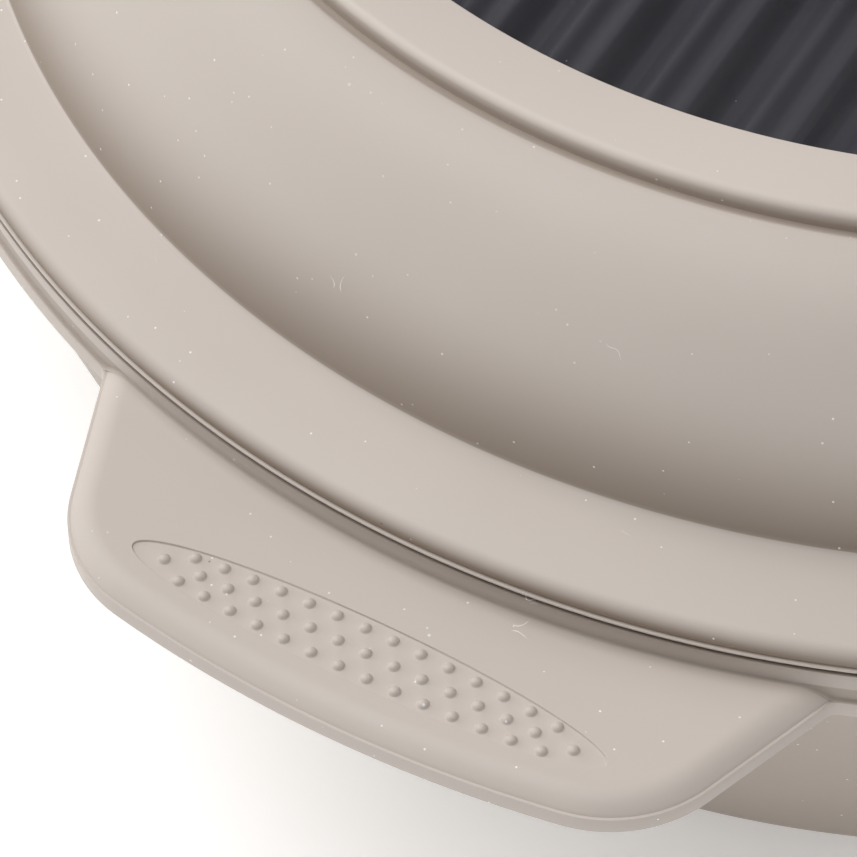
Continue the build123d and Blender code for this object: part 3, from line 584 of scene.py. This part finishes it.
def collar_fittings(shell):
    """Lugs for the dome's rear hinges and ears for the side clips."""
    eye_y, eye_z = LUG_EYE
    lug = [(eye_y + LUG_EYE_R, DECK_Z), (eye_y + LUG_EYE_R, eye_z)]
    lug += arc(LUG_EYE, LUG_EYE_R, 0, 180, 20)[1:]
    lug.append((eye_y - LUG_EYE_R, DECK_Z))
    for x in LUG_X:
        shell.slab(lug, x - LUG_T / 2, x + LUG_T / 2, lambda u, v, w: (w, u, v), soft=0.8 * MM)
    near, far = EAR_X
    for side in (-1, 1):
        ear = [(side * near, EAR_Z - EAR_EYE_R)]
        ear += [(side * x, z) for x, z in arc((far, EAR_Z), EAR_EYE_R, -90, 90, 16)]
        ear.append((side * near, EAR_Z + EAR_EYE_R))
        for low, high in (EAR_Y, (-EAR_Y[1], -EAR_Y[0])):
            shell.slab(ear, low, high, lambda u, v, w: (u, w, v), soft=0.6 * MM)


RING_SHOULDER_R = 1.7 * MM
RING_LIP_R = 0.45 * MM
RING_FOOT_W = 3.0 * MM


def make_ring():
    """The flat bezel: rounded outer shoulder, a nearly crisp inner edge, a foot in the groove."""
    shell = Shell()
    r = RING_SHOULDER_R
    lip = RING_LIP_R
    foot = COLLAR_TOP_Z - GROOVE_DEPTH - 0.5 * MM
    foot_r = RING_R - RING_FOOT_W
    outline = [(RING_IN_R, COLLAR_TOP_Z), (foot_r, COLLAR_TOP_Z), (foot_r, foot), (RING_R, foot)]
    outline += arc((RING_R - r, RING_TOP_Z - r), r, 0, 90, 8)
    outline += arc((RING_IN_R + lip, RING_TOP_Z - lip), lip, 90, 180, 5)
    outline.append(outline[0])
    shell.turn(outline, steps=720)
    return shell.object("ring_bezel")


# ---------------------------------------------------------------------------------------------
# Entry mat
# ---------------------------------------------------------------------------------------------
RIB_PITCH = 20.2 * MM
RIB_HALF = RIB_PITCH * 0.46
RIB_H = 4.2 * MM
RIB_SHOULDER = 5.6 * MM
RIB_GROOVE_H = 1.1 * MM         # the shallow groove along a rib's middle
RIB_GROOVE_HALF = 3.6 * MM
MAT_R = RING_IN_R - 0.8 * MM
MAT_EDGE = 0.4 * MM


def rib_height(x):
    """Height of the mat's top across the ribs: a valley, then two soft crests."""
    crest = mat_high.z
    valley = crest - RIB_H
    d = abs((x / RIB_PITCH) % 1.0 - 0.5) * RIB_PITCH
    if d > RIB_HALF:
        return valley
    edge = min(1.0, (RIB_HALF - d) / RIB_SHOULDER)
    rise = edge * edge * (3 - 2 * edge)
    groove = RIB_GROOVE_H * 0.5 * (1 + cos(min(pi, d / RIB_GROOVE_HALF * pi)))
    return valley + (crest - valley) * rise - groove


def make_mat():
    """A half-moon mat: one closed section after another, from its left tip to its right."""
    shell = Shell()
    back, foot = mat_high.y, mat_low.z
    steps = 1400
    rows = []
    for i in range(steps + 1):
        x = mat_low.x + (mat_high.x - mat_low.x) * i / steps
        front = min(-sqrt(max(MAT_R ** 2 - x * x, 0.0)), back - 0.2 * MM)
        z = rib_height(x)
        rows.append([
            (x, back, foot), (x, back, z - MAT_EDGE), (x, back - MAT_EDGE, z),
            (x, front * 0.5 + back * 0.5, z),
            (x, front + MAT_EDGE, z), (x, front, z - MAT_EDGE), (x, front, foot),
        ])
    shell.grid(rows, close_v=True)
    for end in (rows[0], rows[-1]):
        shell.add(end, [tuple(range(len(end)))])
    return shell.object("ribbed_mat")


# ---------------------------------------------------------------------------------------------
# Materials
# ---------------------------------------------------------------------------------------------
def srgb(r, g, b):
    """Linear colour from 0-255 display values."""
    out = []
    for v in (r, g, b):
        v /= 255.0
        out.append(v / 12.92 if v <= 0.04045 else ((v + 0.055) / 1.055) ** 2.4)
    return (*out, 1.0)


class Nodes:
    """A short way to build a material's node tree."""

    def __init__(self, name):
        self.material = bpy.data.materials.new(name)
        self.material.use_nodes = True
        self.tree = self.material.node_tree
        self.tree.nodes.clear()
        self.out = self.tree.nodes.new("ShaderNodeOutputMaterial")
        self.shader = self.tree.nodes.new("ShaderNodeBsdfPrincipled")
        self.link(self.shader.outputs[0], self.out.inputs[0])
        self.coords = self.tree.nodes.new("ShaderNodeTexCoord").outputs["Object"]

    def link(self, a, b):
        self.tree.links.new(a, b)

    def set(self, **values):
        """Uniform values, set on the shader's own sockets."""
        for name, value in values.items():
            self.shader.inputs[name.replace("_", " ")].default_value = value

    def feed(self, **outputs):
        """Node outputs, linked to the shader's sockets."""
        for name, output in outputs.items():
            self.link(output, self.shader.inputs[name.replace("_", " ")])

    def noise(self, scale, detail=2.0, roughness=0.5):
        node = self.tree.nodes.new("ShaderNodeTexNoise")
        node.inputs["Scale"].default_value = scale
        node.inputs["Detail"].default_value = detail
        node.inputs["Roughness"].default_value = roughness
        self.link(self.coords, node.inputs["Vector"])
        return node.outputs["Fac"]

    def voronoi(self, scale):
        node = self.tree.nodes.new("ShaderNodeTexVoronoi")
        node.inputs["Scale"].default_value = scale
        self.link(self.coords, node.inputs["Vector"])
        return node

    def ramp(self, value, stops):
        node = self.tree.nodes.new("ShaderNodeValToRGB")
        ramp = node.color_ramp
        while len(ramp.elements) > 1:
            ramp.elements.remove(ramp.elements[-1])
        ramp.elements[0].position = stops[0][0]
        ramp.elements[0].color = stops[0][1]
        for position, colour in stops[1:]:
            ramp.elements.new(position).color = colour
        self.link(value, node.inputs["Fac"])
        return node.outputs["Color"]

    def remap(self, value, low, high, to_low, to_high):
        node = self.tree.nodes.new("ShaderNodeMapRange")
        for name, number in (("From Min", low), ("From Max", high), ("To Min", to_low), ("To Max", to_high)):
            node.inputs[name].default_value = number
        self.link(value, node.inputs["Value"])
        return node.outputs["Result"]

    def smooth(self, value, full, none):
        """1 at full, 0 at none, with a soft step between them."""
        node = self.tree.nodes.new("ShaderNodeMapRange")
        node.interpolation_type = "SMOOTHSTEP"
        low, high = min(full, none), max(full, none)
        for name, number in (("From Min", low), ("From Max", high)):
            node.inputs[name].default_value = number
        node.inputs["To Min"].default_value = 1.0 if full < none else 0.0
        node.inputs["To Max"].default_value = 0.0 if full < none else 1.0
        self.link(value, node.inputs["Value"])
        return node.outputs["Result"]

    def maths(self, operation, a, b=None):
        """A math node on one or two numbers or outputs."""
        node = self.tree.nodes.new("ShaderNodeMath")
        node.operation = operation
        for i, value in enumerate((a, b)):
            if value is None:
                continue
            if isinstance(value, (int, float)):
                node.inputs[i].default_value = value
            else:
                self.link(value, node.inputs[i])
        return node.outputs[0]

    def mix(self, factor, a, b):
        node = self.tree.nodes.new("ShaderNodeMix")
        node.data_type = "RGBA"
        self.link(factor, node.inputs["Factor"])
        sockets = [s for s in node.inputs if s.type == "RGBA"]
        for socket, value in zip(sockets, (a, b)):
            if isinstance(value, tuple):
                socket.default_value = value
            else:
                self.link(value, socket)
        return [s for s in node.outputs if s.type == "RGBA"][0]

    def bump(self, height, strength, distance, under=None):
        node = self.tree.nodes.new("ShaderNodeBump")
        node.inputs["Strength"].default_value = strength
        node.inputs["Distance"].default_value = distance
        self.link(height, node.inputs["Height"])
        if under is not None:
            self.link(under, node.inputs["Normal"])
        return node.outputs["Normal"]


# Painted shade: the plastic is darkened by radius and height where shade falls in creases, grooves and under
# overhangs.
PAINTED_SHADE_START = 0.15 * MM
PAINTED_SHADE_TINT = (0.34, 0.27, 0.20)  # share of the plastic's colour left where the painted shade is full
DUST = srgb(252, 250, 246)
DIRT = srgb(96, 84, 70)
SMOKE_DUST = srgb(190, 190, 192)


def speck_mask(n, scale, size, share):
    """Small sparse round specks: 1 on a speck, 0 elsewhere."""
    cells = n.voronoi(scale)
    near = n.remap(cells.outputs["Distance"], size * 0.6, size, 1.0, 0.0)
    split = n.tree.nodes.new("ShaderNodeSeparateColor")
    n.link(cells.outputs["Color"], split.inputs[0])
    chosen = n.maths("LESS_THAN", split.outputs[0], share)
    return n.maths("MULTIPLY", near, chosen)


def painted_shade_mask(n, painted_shades):
    """Painted shade: how much the plastic is coloured darker to stand in for shade in creases, grooves and
    under overhangs; full at a band's first radius and height, none at its second.

    A band is (radius full, radius none, height full, height none, strength, height it starts at).
    """
    split = n.tree.nodes.new("ShaderNodeSeparateXYZ")
    n.link(n.coords, split.inputs[0])
    x, y, z = split.outputs
    radius = n.maths("SQRT", n.maths("ADD", n.maths("POWER", x, 2.0), n.maths("POWER", y, 2.0)))
    total = None
    for r_full, r_none, z_full, z_none, strength, z_cut in painted_shades:
        near = n.maths("MULTIPLY", n.smooth(radius, r_full, r_none), n.smooth(z, z_full, z_none))
        above = n.smooth(z, z_cut + PAINTED_SHADE_START, z_cut)
        one = n.maths("MULTIPLY", near, n.maths("MULTIPLY", above, strength))
        total = one if total is None else n.maths("MAXIMUM", total, one)
    return total


def lint_mask(n, scale, size, share):
    """Short thin curls: lines of a noise, kept only inside a few small patches."""
    field = n.noise(260.0, detail=0.0)
    line = n.maths("LESS_THAN", n.maths("ABSOLUTE", n.maths("SUBTRACT", field, 0.5)), 0.012)
    return n.maths("MULTIPLY", line, speck_mask(n, scale, size, share))


def set_skin(n, skin, edge=0.0):
    """Gives the shader its surface normal, with hard edges softened over the width given."""
    if edge:
        node = n.tree.nodes.new("ShaderNodeBevel")
        node.samples = 6
        node.inputs["Radius"].default_value = edge
        n.link(skin, node.inputs["Normal"])
        skin = node.outputs[0]
    n.feed(Normal=skin)


def satin_plastic(name, colour, painted_shades=(), edge=0.0):
    """Warm satin polypropylene: faint tone drift, fine moulded grain, dust on it, and painted shade in the
    bands given.
    """
    n = Nodes(name)
    light = tuple(min(1.0, c * 1.02) for c in colour[:3]) + (1.0,)
    dark = tuple(c * 0.975 for c in colour[:3]) + (1.0,)
    drift = n.noise(9.0, detail=3.0, roughness=0.55)
    base = n.ramp(drift, ((0.35, dark), (0.65, light)))
    # Painted shade: the colour is darkened where shade falls in creases, grooves and under overhangs.
    if painted_shades:
        shade = tuple(c * t for c, t in zip(colour, PAINTED_SHADE_TINT)) + (1.0,)
        base = n.mix(painted_shade_mask(n, painted_shades), base, shade)
    fine = speck_mask(n, 300.0, 0.085, 0.40)
    coarse = speck_mask(n, 130.0, 0.050, 0.30)
    patches = n.remap(n.noise(14.0, detail=2.0), 0.36, 0.60, 0.35, 1.0)
    specks = n.maths("MULTIPLY", n.maths("MAXIMUM", fine, coarse), patches)
    specks = n.maths("MAXIMUM", specks, n.maths("MULTIPLY", lint_mask(n, 90.0, 0.22, 0.14), 0.7))
    base = n.mix(specks, base, DUST)
    base = n.mix(n.maths("MULTIPLY", speck_mask(n, 110.0, 0.030, 0.12), 0.6), base, DIRT)
    smear = n.noise(26.0, detail=4.0, roughness=0.6)
    n.feed(Base_Color=base, Roughness=n.remap(smear, 0.3, 0.7, 0.46, 0.56))
    grain = n.noise(2600.0, detail=2.0, roughness=0.6)
    wave = n.bump(n.noise(700.0, detail=2.0), 0.05, 0.06 * MM)
    set_skin(n, n.bump(grain, 0.10, 0.03 * MM, wave), edge)
    n.set(IOR=1.47, Specular_IOR_Level=0.42)
    return n.material


def smoke_plastic(name, colour, roughness=(0.30, 0.42), edge=0.0, clear=0.0, grain=0.04):
    """Dark smoke-grey plastic with a soft gloss and a little dust; clear lets light through."""
    n = Nodes(name)
    lift = tuple(min(1.0, c * 1.18) for c in colour[:3]) + (1.0,)
    base = n.ramp(n.noise(22.0, detail=2.0), ((0.35, colour), (0.7, lift)))
    specks = n.maths("MAXIMUM", speck_mask(n, 260.0, 0.050, 0.20), speck_mask(n, 120.0, 0.030, 0.10))
    base = n.mix(n.maths("MULTIPLY", specks, 0.45), base, SMOKE_DUST)
    n.feed(Base_Color=base, Roughness=n.remap(n.noise(30.0, detail=2.0), 0.3, 0.7, *roughness))
    set_skin(n, n.bump(n.noise(1500.0, detail=1.0), grain, 0.03 * MM), edge)
    n.set(IOR=1.5, Transmission_Weight=clear)
    return n.material


def steel(name):
    """Stainless wire and plated parts, finely mottled."""
    n = Nodes(name)
    mottle = n.noise(420.0, detail=3.0, roughness=0.6)
    tone = n.ramp(mottle, ((0.3, srgb(176, 178, 181)), (0.7, srgb(205, 206, 208))))
    n.feed(Base_Color=tone, Roughness=n.remap(mottle, 0.3, 0.7, 0.24, 0.38))
    set_skin(n, n.bump(mottle, 0.08, 0.03 * MM), 0.25 * MM)
    n.set(Metallic=1.0)
    return n.material


def foam(name):
    """Open-cell carbon foam: black, pitted all over."""
    n = Nodes(name)
    cells = n.voronoi(420.0).outputs["Distance"]
    n.feed(Base_Color=n.ramp(cells, ((0.1, srgb(14, 14, 15)), (0.7, srgb(52, 52, 54)))))
    set_skin(n, n.bump(cells, 0.8, 0.6 * MM))
    n.set(Roughness=0.95, Specular_IOR_Level=0.2)
    return n.material


def rubber(name):
    """Matt dark rubber with a fine grain."""
    n = Nodes(name)
    n.feed(Base_Color=n.ramp(n.noise(60.0), ((0.3, srgb(38, 38, 40)), (0.7, srgb(50, 50, 52)))))
    set_skin(n, n.bump(n.noise(1800.0), 0.2, 0.05 * MM), 0.4 * MM)
    n.set(Roughness=0.75, Specular_IOR_Level=0.3)
    return n.material


def dress(piece, material):
    """Gives one material to a piece, or to a carried-over CAD node."""
    if not piece.material_slots:
        piece.data.materials.append(material)
    for slot in piece.material_slots:
        slot.material = material
    return piece


# ---------------------------------------------------------------------------------------------
# Build
# ---------------------------------------------------------------------------------------------
TAUPE = (0.605, 0.540, 0.490, 1.0)
# Painted light: the ring's plastic is coloured 14% lighter than the rest, standing in for the light that
# falls on it.
RING_TAUPE_PAINTED_LIGHT = tuple(c * 1.14 for c in TAUPE[:3]) + (1.0,)
EDGE = 0.5 * MM                # how far the shading of the carried-over parts' edges is rounded
NO_CUT = -1.0                  # a painted shade band's starting height that never cuts it
# Painted shade on the collar: under the hood's round edge, in the groove outside the ring, and at the foot
# of the wall.
collar_taupe = satin_plastic("taupe_collar_painted_shade", TAUPE, painted_shades=(
    (RIM_R, BAND_MIDDLE[0] + 3 * MM,
     HOOD_EDGE_Z + 1.4 * MM, HOOD_EDGE_Z + 5.0 * MM, 0.80, HOOD_EDGE_Z + LIP_H),
    (RING_R, RING_R + 3.2 * MM, COLLAR_TOP_Z, COLLAR_TOP_Z - 12 * MM, 0.55, NO_CUT),
    (BAND_R + 0.5 * MM, BAND_R - 20 * MM, BAND_Z, BAND_Z + 34 * MM, 0.58, BAND_Z + 0.2 * MM),
))
# Painted shade on the ring: its outer foot, where it sits in the groove.
ring_taupe = satin_plastic("taupe_ring_painted_light_and_shade", RING_TAUPE_PAINTED_LIGHT, painted_shades=(
    (RING_R, RING_R - 1.2 * MM, COLLAR_TOP_Z, RING_TOP_Z - 0.2 * MM, 0.45, NO_CUT),
))
# Painted shade on the tray: the rim wall's top under the hood's overhang, the crease at the tab, and the
# tray's wall under the skirt.
tray_taupe = satin_plastic("taupe_tray_painted_shade", TAUPE, painted_shades=(
    (RIM_WALL_R, RIM_WALL_R + 2.0 * MM, RIM_TOP_Z, RIM_TOP_Z - 2.0 * MM, 0.70, NO_CUT),
    (RIM_WALL_R + 0.2 * MM, RIM_WALL_R + 0.9 * MM, TAB_TOP_Z + 0.1 * MM, TAB_TOP_Z + 0.6 * MM, 0.40, NO_CUT),
    (RIM_R - 1.7 * MM, RIM_R - 1.2 * MM, SKIRT_Z, SKIRT_Z - 70 * MM, 0.32, NO_CUT),
))
smoke = smoke_plastic("smoke_mat", srgb(60, 60, 66), roughness=(0.34, 0.44))
CARRIED = {
    "dome_shell": satin_plastic("taupe_dome", TAUPE, edge=EDGE),
    "door_trim": smoke_plastic("smoke_trim", srgb(62, 64, 68), edge=EDGE),
    "flap_panel": smoke_plastic("smoke_flap", srgb(128, 130, 136), roughness=(0.08, 0.12), edge=EDGE,
                                clear=0.8, grain=0.002),
    "flap_rod": steel("steel"),
    "carbon_filter": foam("carbon_foam"),
    "tray_foot_1": rubber("foot_rubber"),
}
LIKE = {                       # more carried-over nodes, by the node whose material they share
    "dome_shell": ("door_panel", "filter_cover"),
    "door_trim": ("flap_top_bar", "flap_lock", "clip_right", "clip_left", "filter_basket"),
    "flap_rod": ("door_screws", "flap_magnet", "sill_magnet", "clip_pin_right", "clip_pin_left",
                 "hinge_pin_right", "hinge_pin_left", "filter_cover_pin"),
    "tray_foot_1": ("tray_foot_2", "tray_foot_3", "tray_foot_4"),
}
for model, others in LIKE.items():
    for name in others:
        CARRIED[name] = CARRIED[model]

tray = dress(make_tray(), tray_taupe)
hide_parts("tray")
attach(tray, "base")

collar = dress(make_collar(), collar_taupe)
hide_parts("hood_collar")
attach(collar, "base")

ring = dress(make_ring(), ring_taupe)
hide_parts("hood_ring")
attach(ring, "base")

mat = dress(make_mat(), smoke)
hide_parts("entry_mat")
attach(mat, "mat")

for name, material in CARRIED.items():
    dress(frame["nodes"][name], material)


# ---------------------------------------------------------------------------------------------
# Floor, light, camera
# ---------------------------------------------------------------------------------------------
def floor():
    """A plain white floor that runs past every view."""
    mesh = bpy.data.meshes.new("floor")
    s = 80.0
    mesh.from_pydata([(-s, -s, 0), (s, -s, 0), (s, s, 0), (-s, s, 0)], [], [(0, 1, 2, 3)])
    piece = bpy.data.objects.new("floor", mesh)
    bpy.context.scene.collection.objects.link(piece)
    n = Nodes("floor_white")
    n.feed(Base_Color=n.ramp(n.noise(2.0), ((0.4, srgb(247, 247, 246)), (0.6, srgb(250, 250, 249)))))
    n.set(Roughness=0.8, Emission_Color=(1.0, 1.0, 1.0, 1.0), Emission_Strength=0.30)
    dress(piece, n.material)


def soft_sun(name, azimuth, elevation, strength, spread=50.0):
    """A broad far light: azimuth 0 stands in front of the box, 90 on its right."""
    a, e = radians(azimuth), radians(elevation)
    toward = Vector((sin(a) * cos(e), -cos(a) * cos(e), sin(e)))
    data = bpy.data.lights.new(name, "SUN")
    data.angle = radians(spread)
    data.energy = strength
    lamp = bpy.data.objects.new(name, data)
    bpy.context.scene.collection.objects.link(lamp)
    lamp.rotation_euler = toward.to_track_quat("Z", "Y").to_euler()


def world(fill):
    """A white studio: a weak even fill, and plain white where the view looks past the floor."""
    sky = bpy.data.worlds.new("studio")
    bpy.context.scene.world = sky
    sky.use_nodes = True
    tree = sky.node_tree
    backdrop = tree.nodes["Background"]
    backdrop.inputs[0].default_value = (1.0, 1.0, 1.0, 1.0)
    seen = tree.nodes.new("ShaderNodeLightPath").outputs["Is Camera Ray"]
    strength = tree.nodes.new("ShaderNodeMapRange")
    strength.inputs["To Min"].default_value = fill
    strength.inputs["To Max"].default_value = 1.0
    tree.links.new(seen, strength.inputs["Value"])
    tree.links.new(strength.outputs["Result"], backdrop.inputs[1])


floor()
world(0.10)
soft_sun("left_low", -90, 18, 0.90)
soft_sun("left_high", -90, 45, 0.62)
soft_sun("overhead", -60, 76, 1.60)
soft_sun("right", 120, 42, 0.30)
soft_sun("front", -15, 30, 0.14)

# Long lens, 51.4 degrees above the horizon and 29.9 degrees round to the right of the front,
# aimed so that the front grip pad lies low in the frame.
ELEVATION = radians(51.4)
AZIMUTH = radians(29.9)
DISTANCE = 0.935
FRAME = 857.0                  # the frame's width in pixels
SHARPNESS = 5.386 / MM         # pixels per metre at the pad
PAD_IN_FRAME = (-62.7, 223.6)  # the pad's middle from the frame's middle, in pixels
SENSOR = 36.0
back = Vector((sin(AZIMUTH) * cos(ELEVATION), -cos(AZIMUTH) * cos(ELEVATION), sin(ELEVATION)))
right = Vector((cos(AZIMUTH), sin(AZIMUTH), 0))
up = back.cross(right)
pad = Vector((0, -PAD_R, TAB_TOP_Z))
camera_data = bpy.data.cameras.new("camera")
camera = bpy.data.objects.new("camera", camera_data)
bpy.context.scene.collection.objects.link(camera)
aim_right, aim_up = PAD_IN_FRAME[0] / SHARPNESS, PAD_IN_FRAME[1] / SHARPNESS
camera.location = pad + back * DISTANCE - right * aim_right + up * aim_up
camera.rotation_euler = Matrix((right, up, back)).transposed().to_euler()
camera_data.sensor_width = SENSOR
camera_data.lens = SENSOR * SHARPNESS * DISTANCE / FRAME
camera_data.clip_start = 0.05
bpy.context.scene.camera = camera
bpy.context.scene.view_settings.view_transform = "Standard"
bpy.context.scene.view_settings.look = "None"
